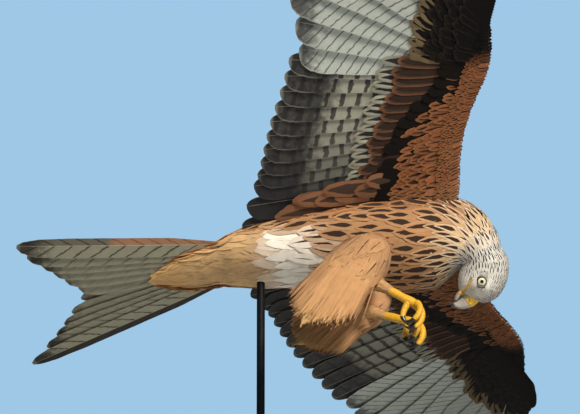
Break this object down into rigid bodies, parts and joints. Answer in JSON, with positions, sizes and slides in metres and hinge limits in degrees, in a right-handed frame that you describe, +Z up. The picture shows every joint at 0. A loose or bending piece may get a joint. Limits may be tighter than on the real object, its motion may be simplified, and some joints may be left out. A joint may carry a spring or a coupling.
{
  "type": "red kite bird model",
  "caption": "Life-size bird of prey with a forked tail, wings spread and head bent down, held in banking flight by a flat base and a rod",
  "frame": {"origin": "middle of the underside of the stand's flat base", "axes": "+Z up; the bird flies towards +X; its belly and right wing face -Y"},
  "size_m": [0.6707, 1.0769, 1.0593],
  "materials": {
    "body_plumage": "rufous body feathers with dark shaft streaks, matt",
    "neck_plumage": "buff and rufous feathers with broad dark streaks and pale edges, matt",
    "head_plumage": "pale grey short feathers with fine dark shaft streaks, matt",
    "wing_feathers": "flight feathers and coverts, barred grey, white, chestnut and black-brown, satin",
    "tail_feathers": "tail feathers, silvery grey below and rufous above with faint bars, satin",
    "iris": "pale cream-yellow eye with a black pupil, glossy",
    "bill_horn": "grey horn with a darker hook and a yellow base, satin",
    "yellow_skin": "bright yellow scaled skin, satin",
    "claw_horn": "black horn, semi-gloss",
    "blackened_steel": "blackened steel, satin"
  },
  "bodies": {
    "root": {"torso": "body_plumage", "thigh_right": "body_plumage", "thigh_left": "body_plumage", "neck": "neck_plumage", "head": "head_plumage", "wing_right": "wing_feathers", "wing_left": "wing_feathers", "tail": "tail_feathers", "eye_right": "iris", "eye_left": "iris", "bill_upper": "bill_horn", "bill_lower": "bill_horn", "tarsus_right": "yellow_skin", "tarsus_left": "yellow_skin", "foot_right": "yellow_skin", "foot_left": "yellow_skin", "claw_right_1": "claw_horn", "claw_right_2": "claw_horn", "claw_right_3": "claw_horn", "claw_right_4": "claw_horn", "claw_left_1": "claw_horn", "claw_left_2": "claw_horn", "claw_left_3": "claw_horn", "claw_left_4": "claw_horn", "stand_base": "blackened_steel", "stand_rod": "blackened_steel"}
  },
  "joints": []
}
